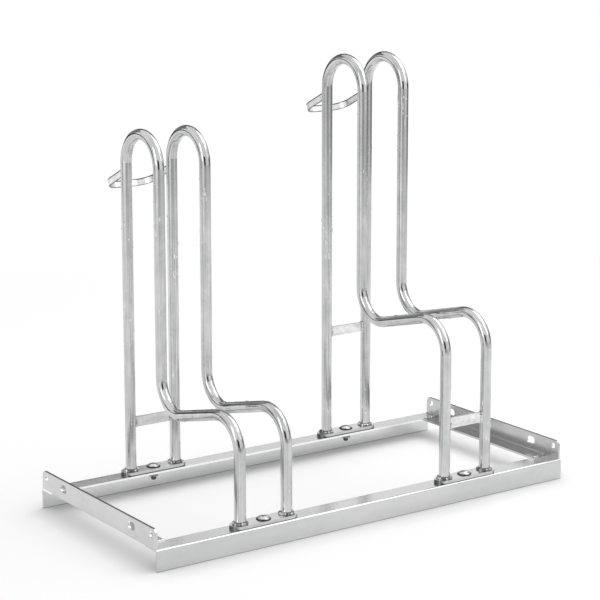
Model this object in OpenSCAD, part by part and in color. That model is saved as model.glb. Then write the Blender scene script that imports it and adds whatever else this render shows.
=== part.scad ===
// Two tier bike rack in hot dip galvanised steel. A floor frame of angle section carries
// two wheel holders, one low and one high. Each holder is a pair of bent tube hoops on
// foot plates that are bolted to the rails.
// Millimetres. +X runs along the rails to the right, +Y to the rear, +Z up.
// The origin is on the floor, in the middle of the rack's length and of its whole depth.

/* [Frame] */
// Length of the two rails
rack_w = 700; // [600:10:1000]
// Depth over the outer faces of the two rails
rack_d = 320; // [290:5:420]
// Width of each flange of the angle section
angle_w = 30; // [30:1:35]
// Thickness of the angle section
angle_t = 3; // [2.5:0.5:4]
// Outside corner radius of the angle section
corner_r = 3; // [1:0.5:4]
// Fillet radius in the root of the angle section
root_r = 1.5; // [0.5:0.5:3]

/* [End angles] */
// Radius of the two top corners of an upstand
upstand_r = 8; // [2:1:9]
// Diameter of the round joining holes
join_hole_d = 9; // [6:0.5:11]
// Distance of a round hole from the rail's outer face
join_hole_inset = 15; // [13:1:18]
// Height of a round hole above the top of the rails
join_hole_rise = 18; // [12:1:19]
// Length of the joining slots
join_slot_l = 18; // [13:1:24]
// Height of the joining slots
join_slot_h = 11; // [7:1:12]
// Distance of a slot's centre from the rail's outer face
join_slot_inset = 65; // [45:1:100]
// Height of a slot's centre above the top of the rails
join_slot_rise = 15; // [11:1:17]

/* [Wheel holders] */
// Distance between the middles of the two wheel holders
cycle_pitch = 350; // [300:10:400]
// Distance between the two tube axes of a pair
pair_pitch = 75; // [65:1:90]
// Height of the low pair above the floor
low_h = 540; // [480:10:600]
// How much higher the high pair stands
tier_step = 87.5; // [60:2.5:120]
// Outside diameter of the tube
tube_d = 16; // [14:1:18]
// Wall of the tube
tube_wall = 2; // [1.5:0.5:3]
// Bend radius of the tube axis, at the arch and at both knee bends
bend_r = 45; // [36:1:48]
// Distance of the leg axes from the rail's outer face
leg_inset = 15; // [14:0.5:17]
// Rise of the knee bar towards the front, in degrees
knee_rise = 14; // [0:1:20]
// Height at which the axes of the upper front leg and of the low pair's knee bar meet
knee_h = 136.5; // [120:0.5:160]

/* [Foot plates] */
// Width of a foot plate
plate_w = 25; // [22:0.5:27]
// Thickness of a foot plate
plate_t = 5; // [3:0.5:6]
// How far the round end's centre lies beyond the leg axis
plate_end = 2.5; // [0:0.5:6]

/* [Cross straps] */
// Height of a cross strap
strap_h = 15; // [10:1:20]
// Thickness of a cross strap
strap_t = 4; // [3:0.5:6]
// Height of the middle of the low pair's rear strap
rear_strap_h = 107; // [80:1:130]
// Height of the middle of the high pair's front strap
front_strap_h = 115.5; // [80:0.5:150]

/* [Top straps] */
// Width of the flat strip
strip_w = 10; // [8:1:14]
// Thickness of the flat strip
strip_t = 3; // [2:0.5:4]
// Distance of the strip's back from the leg axes, along the strip
strip_reach = 74; // [50:1:90]
// Outside radius of the strip's two bends
strip_r = 25; // [8:1:32]
// Fall of the strip towards the back, in degrees
strip_fall = 25; // [10:0.5:40]
// Distance of the strip's middle below the top of the hoops, at the leg axes
strip_drop = 63.5; // [60:0.5:90]

/* [Fasteners] */
// Nominal diameter of the bolts
bolt_d = 8; // [6:1:8]
// Length of a bolt under its head
bolt_l = 20; // [18:1:24]
// Diameter of a bolt's domed head
bolt_head_d = 20.6; // [16:0.1:22]
// Height of a bolt's domed head
bolt_head_h = 4.9; // [3:0.1:6]
// Height of the square neck under the head
bolt_neck_h = 3.8; // [2:0.1:3.8]
// Width of the square neck across its flats
bolt_neck_w = 8.4; // [8.2:0.1:9]
// Width of a nut across its flats
nut_af = 13; // [11:0.5:15]
// Height of a nut
nut_h = 6.8; // [4:0.1:7]
// Clearance round a bolt's shank in the rail
hole_clear = 0.5; // [0.2:0.1:1]
// Clearance round a bolt's square neck in the foot plate
neck_clear = 0.2; // [0.1:0.05:0.5]

/* [Welds] */
// Leg length of the weld round a tube's foot
foot_weld = 3.2; // [2:0.1:4]
// Radius of the weld beads at the ends of the straps
strap_weld = 2.2; // [1:0.1:3]
// Radius of the weld beads between the end angles and the rails
frame_weld = 1.6; // [0.8:0.1:2]

/* [Hidden] */
$fn = 48;

// The two tiers, the two rows of feet and the two sides of a pair
low = 0;
high = 1;
front = 0;
rear = 1;
left = -1;
right = 1;

// How far a cutting shape runs past the face that it cuts
overrun = 1;
// Gap between a tube and what is welded against it
weld_gap = 0.1;
// How much bending draws the tube's surface in, and how far a straight length grips a bend
bend_draw = 0.02;
bend_grip = 0.6;
// Clearance of a nut's bore round the bolt
thread_clear = 0.1;
// Share of the nominal diameter that a bolt's end and a nut's edges are chamfered by
chamfer_share = 0.12;
// Shares of a weld's leg: the radius of its rounded face and the place of that arc's centre
weld_arc_share = 0.8;
weld_centre_share = 0.2;
// Share of a dome's height that its straight rim takes
rim_share = 0.14;

tube_r = tube_d / 2;
bore_r = tube_r - tube_wall;
plate_top = angle_w + plate_t;
upstand_top = 2 * angle_w - angle_t;

// Depth: from the front rail's face to the rearmost edge of the top straps
strip_back = strip_reach * cos(strip_fall) + strip_w / 2 * sin(strip_fall);
overall_d = rack_d - leg_inset + strip_back;
rack_front = -overall_d / 2;
rack_back = rack_front + rack_d;

// The bent line of a hoop: every knee bend turns the tube by this angle
knee_turn = 90 + knee_rise;
bend_run = bend_r * tan(knee_turn / 2);
upper_leg_y = leg_y(rear) - 2 * bend_r;
knee_run = upper_leg_y - leg_y(front);
front_knee_h = knee_h + knee_run * tan(knee_rise);

function unit_x(tier) = (tier == low ? left : right) * cycle_pitch / 2;
function hoop_x(tier, side) = unit_x(tier) + side * pair_pitch / 2;
function leg_y(row) = row == front ? rack_front + leg_inset : rack_back - leg_inset;
function raised(tier) = tier == low ? 0 : tier_step;
function hoop_top(tier) = low_h + raised(tier);
function arch_h(tier) = hoop_top(tier) - tube_r - bend_r;

// Steps of the hoop's line from the rear foot up: each is a straight length and the turn
// after it. The first and last length grow by extra.
function hoop_steps(tier, extra) = [
    [arch_h(tier) - plate_top + extra, 180],
    [arch_h(tier) - knee_h - raised(tier) - bend_run, -knee_turn],
    [knee_run / cos(knee_rise) - 2 * bend_run, knee_turn],
    [front_knee_h + raised(tier) - bend_run - plate_top + extra, 0]
];

// Turns a flat outline into a bar along X: the outline's x becomes Y and its y becomes Z
module along_x(length) {
    rotate([90, 0, 90])
        linear_extrude(length)
            children();
}

// A quarter circle's spandrel in the corner at the origin, to cut or fill that corner
module corner_spandrel(r) {
    difference() {
        square(r);
        translate([r, r])
            circle(r);
    }
}

// A slot of the given length and height, centred, with round ends
module slot_outline(length, height) {
    square([length - height, height], center = true);
    for (side = [left, right])
        translate([side * (length - height) / 2, 0])
            circle(d = height);
}

// A rectangle w wide from the line y = 0 up to y = l, with its two far corners rounded
module round_cornered(w, l, r) {
    translate([-w / 2, 0])
        square([w, l - r]);
    translate([-w / 2 + r, 0])
        square([w - 2 * r, l]);
    for (side = [left, right])
        translate([side * (w / 2 - r), l - r])
            circle(r);
}

// Section of the rolled angle: its outside corner at the origin, flanges along +x and +y
module angle_section() {
    difference() {
        union() {
            square([angle_w, angle_t]);
            square([angle_t, angle_w]);
            translate([angle_t, angle_t])
                corner_spandrel(root_r);
        }
        corner_spandrel(corner_r);
    }
}

// A rail with its outer face at y = 0 and its flange on top, pointing to the rear
module rail() {
    difference() {
        translate([-rack_w / 2, 0, angle_w])
            along_x(rack_w)
                mirror([0, 1])
                    angle_section();
        for (tier = [low, high])
            translate([unit_x(tier), leg_inset, angle_w - angle_t - overrun])
                cylinder(d = bolt_d + 2 * hole_clear, h = angle_t + 2 * overrun);
    }
}

// Side view of an end angle with its joining holes. The upstand stands on the rails, and
// the flange fits between the rails' flanges.
module end_outline() {
    difference() {
        union() {
            translate([rack_front + rack_d / 2, angle_w])
                round_cornered(rack_d - 2 * corner_r, upstand_top - angle_w, upstand_r);
            translate([rack_front + angle_w, angle_w - angle_t])
                square([rack_d - 2 * angle_w, angle_w]);
        }
        for (mirrored = [0, 1])
            translate([rack_front + rack_d / 2, angle_w])
                mirror([mirrored, 0]) {
                    translate([rack_d / 2 - join_hole_inset, join_hole_rise])
                        circle(d = join_hole_d);
                    translate([rack_d / 2 - join_slot_inset, join_slot_rise])
                        slot_outline(join_slot_l, join_slot_h);
                }
    }
}

// An end angle with the outer face of its upstand at x = 0 and its flange pointing to +X,
// and the weld beads that join it to the rails
module end_angle() {
    intersection() {
        translate([0, rack_back - corner_r, angle_w - angle_t])
            rotate([90, 0, 0])
                linear_extrude(rack_d - 2 * corner_r)
                    angle_section();
        along_x(angle_w)
            end_outline();
    }
    for (seam_y = [rack_front + angle_w, rack_back - angle_w])
        translate([angle_t, seam_y, angle_w])
            difference() {
                rotate([0, 90, 0])
                    cylinder(r = frame_weld, h = angle_w - angle_t - frame_weld);
                translate([-overrun, -angle_w / 2, -angle_w])
                    cube([angle_w, angle_w, angle_w]);
            }
}

// A solid round bar of radius r that starts at the origin along +Z and follows the steps.
// Bending draws a tube a hair thinner, so each straight length grips the ends of its bends.
module bent_bar(r, steps, step = 0) {
    length = steps[step][0];
    turn = steps[step][1];
    grip_before = step == 0 ? 0 : bend_grip;
    grip_after = turn == 0 ? 0 : bend_grip;
    translate([0, 0, -grip_before])
        cylinder(r = r, h = grip_before + length + grip_after);
    if (turn != 0)
        translate([0, 0, length]) {
            rotate(turn > 0 ? 0 : 180)
                translate([0, -bend_r, 0])
                    rotate([90, 0, 90])
                        rotate_extrude(angle = abs(turn), $fn = 96)
                            translate([bend_r, 0])
                                circle(r - bend_draw);
            translate([0, -sign(turn) * bend_r, 0])
                rotate([turn, 0, 0])
                    translate([0, sign(turn) * bend_r, 0])
                        bent_bar(r, steps, step + 1);
        }
}

// Round weld that fills the corner between a tube and the plate it stands on
module foot_bead() {
    inside = tube_r - tube_wall / 2;
    rotate_extrude()
        intersection() {
            translate([inside, 0])
                square([foot_weld + tube_wall, foot_weld + overrun]);
            translate([tube_r + foot_weld * weld_centre_share, foot_weld * weld_centre_share])
                circle(foot_weld * weld_arc_share);
        }
}

// One hoop: rear leg, arch, upper front leg, knee bar and lower front leg in one tube
module hoop(tier, side) {
    difference() {
        union() {
            translate([hoop_x(tier, side), leg_y(rear), plate_top])
                bent_bar(tube_r, hoop_steps(tier, 0));
            for (row = [front, rear])
                translate([hoop_x(tier, side), leg_y(row), plate_top])
                    foot_bead();
        }
        translate([hoop_x(tier, side), leg_y(rear), plate_top - overrun])
            bent_bar(bore_r, hoop_steps(tier, overrun));
    }
}

// Foot plate of a pair, with round ends and a square hole for the bolt's neck
module foot_plate(tier, row) {
    translate([unit_x(tier), leg_y(row), angle_w])
        linear_extrude(plate_t)
            difference() {
                slot_outline(pair_pitch + 2 * plate_end + plate_w, plate_w);
                square(bolt_neck_w + 2 * neck_clear, center = true);
            }
}

// Dome of a bolt's head, a slice of a ball with its edge turned to a short straight rim
module bolt_head() {
    cap_h = bolt_head_h * (1 - rim_share);
    ball_r = (bolt_head_d * bolt_head_d / 4 + cap_h * cap_h) / (2 * cap_h);
    rotate_extrude()
        intersection() {
            translate([0, bolt_head_h - ball_r])
                circle(ball_r, $fn = 96);
            square([bolt_head_d / 2, bolt_head_h + overrun]);
        }
}

// Carriage bolt, head up on the foot plate
module bolt(tier, row) {
    tip = bolt_d * chamfer_share;
    translate([unit_x(tier), leg_y(row), plate_top]) {
        bolt_head();
        translate([-bolt_neck_w / 2, -bolt_neck_w / 2, -bolt_neck_h])
            cube([bolt_neck_w, bolt_neck_w, bolt_neck_h]);
        translate([0, 0, tip - bolt_l])
            cylinder(d = bolt_d, h = bolt_l - tip);
        translate([0, 0, -bolt_l])
            cylinder(d1 = bolt_d - 2 * tip, d2 = bolt_d, h = tip);
    }
}

// Hexagon nut under the rail's flange, with its corners turned off at both ends
module nut(tier, row) {
    corner = nut_af / cos(30);
    chamfer = bolt_d * chamfer_share;
    translate([unit_x(tier), leg_y(row), angle_w - angle_t - nut_h])
        difference() {
            intersection() {
                cylinder(d = corner, h = nut_h, $fn = 6);
                rotate_extrude()
                    polygon([
                        [0, 0],
                        [nut_af / 2, 0],
                        [nut_af / 2 + 2 * chamfer, chamfer],
                        [nut_af / 2 + 2 * chamfer, nut_h - chamfer],
                        [nut_af / 2, nut_h],
                        [0, nut_h]
                    ]);
            }
            translate([0, 0, -overrun])
                cylinder(r = bolt_d / 2 + thread_clear, h = nut_h + 2 * overrun);
        }
}

// The two tubes of a pair at one row of legs, as tools to cope what is welded to them
module leg_tools(tier, row) {
    for (side = [left, right])
        translate([hoop_x(tier, side), leg_y(row), 0])
            cylinder(r = tube_r + weld_gap, h = hoop_top(tier));
}

// Flat cross strap between the two tubes of a pair, middle at the given height, with a
// weld bead down each face at both ends
module cross_strap(tier, row, middle) {
    difference() {
        translate([unit_x(tier), leg_y(row), middle]) {
            cube([pair_pitch, strap_t, strap_h], center = true);
            for (side = [left, right], face = [left, right])
                translate([side * (pair_pitch / 2 - tube_r), face * strap_t / 2, 0])
                    cylinder(r = strap_weld, h = strap_h, center = true);
        }
        leg_tools(tier, row);
    }
}

// Outline of the U that the top strap's strip is bent to
module strip_outline() {
    difference() {
        round_cornered(pair_pitch + strip_t, strip_reach, strip_r);
        translate([0, -overrun])
            round_cornered(pair_pitch - strip_t, strip_reach - strip_t + overrun, strip_r - strip_t);
    }
}

// Top strap: a flat strip bent to a U behind the rear legs, falling towards the back
module top_strap(tier) {
    difference() {
        translate([unit_x(tier), leg_y(rear), hoop_top(tier) - strip_drop])
            rotate([-strip_fall, 0, 0])
                linear_extrude(strip_w, center = true)
                    strip_outline();
        leg_tools(tier, rear);
    }
}

module front_rail() {
    color("silver")
        translate([0, rack_front, 0])
            rail();
}

module rear_rail() {
    color("silver")
        translate([0, rack_back, 0])
            mirror([0, 1, 0])
                rail();
}

module left_end_angle() {
    color("lightgray")
        translate([-rack_w / 2, 0, 0])
            end_angle();
}

module right_end_angle() {
    color("lightgray")
        translate([rack_w / 2, 0, 0])
            mirror([1, 0, 0])
                end_angle();
}

module steel_hoop(tier, side) {
    color("gainsboro")
        hoop(tier, side);
}

module steel_foot_plate(tier, row) {
    color("lightgray")
        foot_plate(tier, row);
}

module steel_bolt(tier, row) {
    color("whitesmoke")
        bolt(tier, row);
}

module steel_nut(tier, row) {
    color("darkgray")
        nut(tier, row);
}

module steel_cross_strap(tier, row, middle) {
    color("silver")
        cross_strap(tier, row, middle);
}

module steel_top_strap(tier) {
    color("silver")
        top_strap(tier);
}

front_rail();
rear_rail();
left_end_angle();
right_end_angle();
steel_hoop(low, left);  // low_left_hoop
steel_hoop(low, right);  // low_right_hoop
steel_hoop(high, left);  // high_left_hoop
steel_hoop(high, right);  // high_right_hoop
steel_foot_plate(low, front);  // low_front_foot_plate
steel_foot_plate(low, rear);  // low_rear_foot_plate
steel_foot_plate(high, front);  // high_front_foot_plate
steel_foot_plate(high, rear);  // high_rear_foot_plate
steel_bolt(low, front);  // low_front_bolt
steel_bolt(low, rear);  // low_rear_bolt
steel_bolt(high, front);  // high_front_bolt
steel_bolt(high, rear);  // high_rear_bolt
steel_nut(low, front);  // low_front_nut
steel_nut(low, rear);  // low_rear_nut
steel_nut(high, front);  // high_front_nut
steel_nut(high, rear);  // high_rear_nut
steel_cross_strap(low, rear, rear_strap_h);  // low_rear_strap
steel_cross_strap(high, rear, rear_strap_h + tier_step);  // high_rear_strap
steel_cross_strap(high, front, front_strap_h);  // high_front_strap
steel_top_strap(low);  // low_top_strap
steel_top_strap(high);  // high_top_strap
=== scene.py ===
"""Finish, welds, bolts and studio of a galvanised two tier bike rack.

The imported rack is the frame: bent tube hoops on foot plates, on a floor frame of angle section. This script
gives each solid its zinc finish, adds the welds, the screw threads and the lumps of zinc that the solids
leave plain, and sets the lights and the camera. Lengths are in metres; MM turns millimetres into them.
"""
import logging
import math
import random
from dataclasses import dataclass
from enum import Enum
from functools import cached_property
from typing import Any, Callable, Sequence

import bpy
from mathutils import Matrix, Vector


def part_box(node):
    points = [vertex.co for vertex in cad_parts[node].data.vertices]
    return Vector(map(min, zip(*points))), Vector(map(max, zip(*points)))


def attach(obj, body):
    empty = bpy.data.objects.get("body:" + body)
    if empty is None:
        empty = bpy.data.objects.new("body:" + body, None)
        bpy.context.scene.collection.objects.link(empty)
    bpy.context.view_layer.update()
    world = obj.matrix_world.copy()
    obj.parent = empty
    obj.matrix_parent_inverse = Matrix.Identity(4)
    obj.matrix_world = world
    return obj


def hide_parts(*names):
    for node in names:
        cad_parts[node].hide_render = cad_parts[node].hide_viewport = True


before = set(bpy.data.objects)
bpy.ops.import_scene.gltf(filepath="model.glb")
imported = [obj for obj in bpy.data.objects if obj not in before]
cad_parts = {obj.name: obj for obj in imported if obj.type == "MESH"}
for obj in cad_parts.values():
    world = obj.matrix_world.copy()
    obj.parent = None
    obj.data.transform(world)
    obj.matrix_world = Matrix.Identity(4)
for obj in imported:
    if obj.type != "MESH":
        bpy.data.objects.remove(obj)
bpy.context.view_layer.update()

MM = 0.001
BODY = "root"
# Turn of the camera's view from +Y towards +X
CAMERA_AZIMUTH = math.radians(34.913)
# How far the top straps fall to the rear
STRAP_FALL = math.radians(25)
# Faces that turn by more than this meet in a sharp edge
SHARP_TURN = math.radians(40)
# Rays that look for a corner at each point
CORNER_SAMPLES = 8
# The part of its range that a noise texture fills, for a MapRange to stretch to 0 to 1
NOISE_RANGE = {"From Min": 0.3, "From Max": 0.7}
WHITE = (1, 1, 1, 1)
LOG = logging.getLogger("bike_rack")

Material = bpy.types.Material
Socket = bpy.types.NodeSocket
Outputs = bpy.types.bpy_prop_collection


class Tier(Enum):
    """The two wheel holders, by height."""

    LOW = "low"
    HIGH = "high"


class Row(Enum):
    """The two rows of feet, one on each rail."""

    FRONT = "front"
    REAR = "rear"


class Side(Enum):
    """The two tubes of a holder, and the two ends of the rack."""

    LEFT = -1
    RIGHT = 1

    @property
    def word(self) -> str:
        """The side as it stands in a node's name."""
        return self.name.lower()


def linear_colour(hex_colour: str) -> tuple[float, float, float, float]:
    """Turns an sRGB hex colour into Blender's linear colour, by the sRGB standard's curve.

    Args:
        hex_colour: Six hex digits after a hash sign.

    Returns:
        Linear red, green, blue and an alpha of 1.
    """
    channels = [int(hex_colour[i:i + 2], 16) / 255 for i in (1, 3, 5)]
    linear = [c / 12.92 if c <= 0.04045 else ((c + 0.055) / 1.055) ** 2.4 for c in channels]
    return (linear[0], linear[1], linear[2], 1.0)


def node_centre(name: str) -> Vector:
    """The middle of a CAD node's box."""
    lowest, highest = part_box(name)
    return (lowest + highest) / 2


def add_object(name: str, points: Sequence[Sequence[float]], faces: Sequence[Sequence[int]],
               material: Material) -> bpy.types.Object:
    """Puts a mesh object into the scene.

    Args:
        name: Name of the object.
        points: Its vertices.
        faces: Its faces, as numbers of vertices.
        material: Its finish.

    Returns:
        The new object.
    """
    mesh = bpy.data.meshes.new(name)
    mesh.from_pydata([tuple(point) for point in points], [], faces)
    mesh.materials.append(material)
    added = bpy.data.objects.new(name, mesh)
    bpy.context.scene.collection.objects.link(added)
    return added


class Nodes:
    """The node tree of a material or of the world, empty to start with."""

    def __init__(self, owner: Material | bpy.types.World) -> None:
        """Empties the tree.

        Args:
            owner: Material or world that the tree belongs to.
        """
        owner.use_nodes = True
        self.tree = owner.node_tree
        self.tree.nodes.clear()

    def add(self, kind: str, inputs: dict | None = None, **settings: Any) -> Outputs:
        """Adds one shader node with its settings and links.

        Args:
            kind: Class of the node without its ShaderNode prefix.
            inputs: Values or output sockets, by the name or number of the input.
            settings: Attributes of the node, by name.

        Returns:
            The node's output sockets.
        """
        node = self.tree.nodes.new("ShaderNode" + kind)
        for name, value in settings.items():
            setattr(node, name, value)
        for key, value in (inputs or {}).items():
            if isinstance(value, Socket):
                self.tree.links.new(value, node.inputs[key])
            else:
                node.inputs[key].default_value = value
        return node.outputs


class Skin(Nodes):
    """The nodes of one finish, with where a point of the surface lies and which way it faces."""

    def __init__(self, name: str) -> None:
        """Makes the material.

        Args:
            name: Name of the finish.
        """
        self.material = bpy.data.materials.new(name)
        super().__init__(self.material)

    @cached_property
    def place(self) -> Socket:
        """Place of a point on the rack."""
        return self.add("TexCoord")["Object"]

    @cached_property
    def axes(self) -> Outputs:
        """The x, y and z of that place."""
        return self.add("SeparateXYZ", {0: self.place})

    @cached_property
    def normal(self) -> Socket:
        """Direction that the surface faces."""
        return self.add("NewGeometry")["Normal"]

    @cached_property
    def facing(self) -> Outputs:
        """The x, y and z of that direction."""
        return self.add("SeparateXYZ", {0: self.normal})


@dataclass(frozen=True)
class HoopLine:
    """The bent line of one pair's tubes, worked out from the frame.

    All places are (y, z) in the plane of the hoop.
    """

    tier: Tier
    tube_radius: float = 8 * MM
    bend_radius: float = 45 * MM
    knee_rise: float = math.radians(14)
    knee_height: float = 136.5 * MM
    strap_drop: float = 63.5 * MM

    @property
    def number(self) -> int:
        """Number of the pair, from 0."""
        return list(Tier).index(self.tier)

    @property
    def front_y(self) -> float:
        """Y of the lower front legs, which is that of the front bolt."""
        return node_centre(f"{self.tier.value}_front_bolt").y

    @property
    def rear_y(self) -> float:
        """Y of the rear legs, which is that of the rear bolt."""
        return node_centre(f"{self.tier.value}_rear_bolt").y

    @property
    def plate_top(self) -> float:
        """Height of the foot plates' upper faces."""
        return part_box(f"{self.tier.value}_rear_foot_plate")[1].z

    @property
    def top(self) -> float:
        """Height of the top of the hoops."""
        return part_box(f"{self.tier.value}_left_hoop")[1].z

    @property
    def raised(self) -> float:
        """How much higher this pair stands than the low one."""
        return self.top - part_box("low_left_hoop")[1].z

    @property
    def upper_y(self) -> float:
        """Y of the upper front legs."""
        return self.rear_y - 2 * self.bend_radius

    @property
    def arch_z(self) -> float:
        """Height at which the arch starts."""
        return self.top - self.tube_radius - self.bend_radius

    @property
    def bend_run(self) -> float:
        """Distance from a knee's corner to the start of its bend."""
        return self.bend_radius * math.tan((math.pi / 2 + self.knee_rise) / 2)

    @property
    def rear_knee_z(self) -> float:
        """Height at which the upper front leg starts to bend."""
        return self.knee_height + self.raised + self.bend_run

    @property
    def front_knee_z(self) -> float:
        """Height at which the lower front leg starts to bend."""
        corner = self.knee_height + (self.upper_y - self.front_y) * math.tan(self.knee_rise)
        return corner + self.raised - self.bend_run

    @property
    def bar_heading(self) -> tuple[float, float]:
        """Direction of the knee bar towards the front, as (y, z)."""
        return (-math.cos(self.knee_rise), math.sin(self.knee_rise))

    def hoop(self, side: Side) -> str:
        """Name of the node of one of the pair's tubes."""
        return f"{self.tier.value}_{side.word}_hoop"

    def tube_x(self, side: Side) -> float:
        """X of one of the pair's tubes."""
        return node_centre(self.hoop(side)).x

    def straights(self) -> list[tuple[Vector, Vector]]:
        """The straight lengths of the line.

        Returns:
            Pairs of ends, as vectors with x at 0.
        """
        heading = Vector((0, *self.bar_heading))
        normal = Vector((0, heading.z, -heading.y))
        rear_centre = Vector((0, self.upper_y - self.bend_radius, self.rear_knee_z))
        front_centre = Vector((0, self.front_y + self.bend_radius, self.front_knee_z))
        return [
            (Vector((0, self.rear_y, self.plate_top)), Vector((0, self.rear_y, self.arch_z))),
            (Vector((0, self.upper_y, self.arch_z)), Vector((0, self.upper_y, self.rear_knee_z))),
            (rear_centre - normal * self.bend_radius, front_centre + normal * self.bend_radius),
            (Vector((0, self.front_y, self.front_knee_z)), Vector((0, self.front_y, self.plate_top))),
        ]


class Mesh:
    """Vertices and faces of one piece while it is being made."""

    def __init__(self) -> None:
        """Starts empty."""
        self.points: list[Vector] = []
        self.faces: list[tuple[int, ...]] = []

    def rings(self, rings: Sequence[Sequence[Vector]], closed: bool = False) -> None:
        """Skins a row of rings of equal length, and caps the ends unless the row is closed.

        Args:
            rings: Rings of points, each closed on itself.
            closed: Whether the last ring joins the first.
        """
        start, count = len(self.points), len(rings[0])
        for ring in rings:
            self.points.extend(ring)
        rows = len(rings) if closed else len(rings) - 1
        for row in range(rows):
            low = start + row * count
            high = start + (row + 1) % len(rings) * count
            for i in range(count):
                j = (i + 1) % count
                self.faces.append((low + i, low + j, high + j, high + i))
        if not closed:
            last = start + (len(rings) - 1) * count
            self.faces.append(tuple(start + i for i in reversed(range(count))))
            self.faces.append(tuple(last + i for i in range(count)))

    def piece(self, name: str, material: Material, slot: str) -> bpy.types.Object:
        """Makes the object, smooth but for its sharp edges, and lets it ride on the rack.

        Args:
            name: Name of the piece.
            material: Its finish.
            slot: Not used.

        Returns:
            The new object.
        """
        piece = add_object(name, self.points, self.faces, material)
        piece.data.validate()
        piece.data.shade_smooth()
        piece.data.set_sharp_from_angle(angle=SHARP_TURN)
        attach(piece, BODY)
        LOG.info("%s: %d faces", name, len(piece.data.polygons))
        return piece


@dataclass(frozen=True, kw_only=True)
class Zinc:
    """Hot dip galvanised steel: a cast skin of zinc, satin and mottled, with faint crystals.

    The eye sees soft reflections that break up in cloudy patches, a shade brighter or duller from one to the
    next, and a fine unevenness where the zinc ran off and froze. Where a highlight colour is given, level
    upper faces get it as a painted highlight. Corners that ambient occlusion finds closed in get painted
    shade, and lines or faces that a finish marks get painted shade in its line colour. Clouds and crystals
    have their real size, and a stretch below 1 draws the clouds out along that axis, as the steel was rolled
    or drawn.
    The frozen ripples are a tenth of the grain's size in truth, and are drawn coarser so that they show. A
    turn is the cosine of the angle between a face and a direction.
    """

    name: str
    bright: str = "#D6D6D6"
    dull: str = "#C6C7C8"
    # Painted shade: corners that ambient occlusion finds closed in are mixed towards this colour
    corner_shade: str = "#5C5C5C"
    # Painted shade: colour of the lines and faces that a finish marks dark
    edge: str = "#6A6A6A"
    # Painted highlight: level upper faces are mixed towards this colour, where one is given
    painted_highlight: str | None = None
    highlight_turn: float = 0.965
    highlight_blend: float = 0.03
    # Reach and levels of the painted corner shade
    corner_shade_reach: float = 3 * MM
    corner_shade_full: float = 0.2
    corner_shade_none: float = 0.7
    roughness: float = 0.28
    roughness_spread: float = 0.12
    cloud: float = 55 * MM
    cloud_detail: float = 4.0
    cloud_roughness: float = 0.6
    crystal: float = 7 * MM
    crystal_share: float = 0.15
    grain: float = 3 * MM
    grain_detail: float = 2.0
    grain_depth: float = 0.008 * MM
    stretch: tuple[float, float, float] = (1.0, 1.0, 1.0)

    def mottle(self, skin: Skin) -> Socket:
        """Clouds of duller zinc with the faint crystals of the cast skin over them.

        Args:
            skin: Nodes of the finish.

        Returns:
            Socket with a value from 0, dull, to 1, bright.
        """
        stretched = skin.add("VectorMath", {0: skin.place, 1: self.stretch}, operation="MULTIPLY")
        cloud = skin.add("TexNoise", {
            "Vector": stretched[0], "Scale": 1 / self.cloud, "Detail": self.cloud_detail,
            "Roughness": self.cloud_roughness})
        cloud_range = skin.add("MapRange", {"Value": cloud[0], **NOISE_RANGE})
        crystal = skin.add("TexVoronoi", {"Vector": skin.place, "Scale": 1 / self.crystal})
        crystal_value = skin.add("SeparateColor", {0: crystal["Color"]})
        mixed = {0: self.crystal_share, 2: cloud_range[0], 3: crystal_value[0]}
        return skin.add("Mix", mixed, data_type="FLOAT")[0]

    def shade_line_heights(self) -> tuple[float, float] | None:
        """Heights at which the painted shade line starts and is full, where the finish has such a line."""
        return None

    def edges(self, skin: Skin) -> Socket | None:
        """Finds where the painted shade lines lie.

        Args:
            skin: Nodes of the finish.

        Returns:
            Socket that is 1 there, or nothing where the finish has no such line.
        """
        heights = self.shade_line_heights()
        if heights is None:
            return None
        start, full = heights
        return skin.add("MapRange", {"Value": skin.axes[2], "From Min": start, "From Max": full})[0]

    def painted_highlight_mask(self, skin: Skin) -> Socket | None:
        """Finds the level upper faces, which get the painted highlight.

        Args:
            skin: Nodes of the finish.

        Returns:
            Socket that is 1 there, or nothing where the finish has no highlight colour.
        """
        if self.painted_highlight is None:
            return None
        return skin.add("MapRange", {
            "Value": skin.facing[2], "From Min": self.highlight_turn,
            "From Max": self.highlight_turn + self.highlight_blend})[0]

    def finish(self, skin: Skin, brightness: Socket, roughness: Socket) -> Material:
        """Closes the material: colour, painted highlight, painted shade in corners and along marked lines,
        roughness and fine grain into one metal.

        Args:
            skin: Nodes of the finish.
            brightness: Socket from 0, dull, to 1, bright.
            roughness: Socket of the roughness.

        Returns:
            The finished material.
        """
        # Painted shade in corners: ambient occlusion darkens the colour where the surface is closed in
        corner = skin.add("AmbientOcclusion", {"Distance": self.corner_shade_reach}, samples=CORNER_SAMPLES)
        corner_shade_share = skin.add("MapRange", {
            "Value": corner["AO"], "From Min": self.corner_shade_none, "From Max": self.corner_shade_full})
        # Mottle, painted highlight, painted shade lines and painted corner shade, each mixed over the colour
        # so far
        layers = ((brightness, self.bright), (self.painted_highlight_mask(skin), self.painted_highlight), (self.edges(skin), self.edge),
                  (corner_shade_share[0], self.corner_shade))
        colour = linear_colour(self.dull)
        for share, layer in layers:
            if share is not None:
                mixed = {0: share, 6: colour, 7: linear_colour(layer)}
                colour = skin.add("Mix", mixed, data_type="RGBA")[2]
        grain = skin.add("TexNoise", {
            "Vector": skin.place, "Scale": 1 / self.grain, "Detail": self.grain_detail})
        bump = skin.add("Bump", {"Distance": self.grain_depth, "Height": grain[0]})
        shader = skin.add("BsdfPrincipled", {
            "Base Color": colour, "Metallic": 1.0, "Roughness": roughness, "Normal": bump[0]})
        skin.add("OutputMaterial", {"Surface": shader[0]})
        return skin.material

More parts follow.
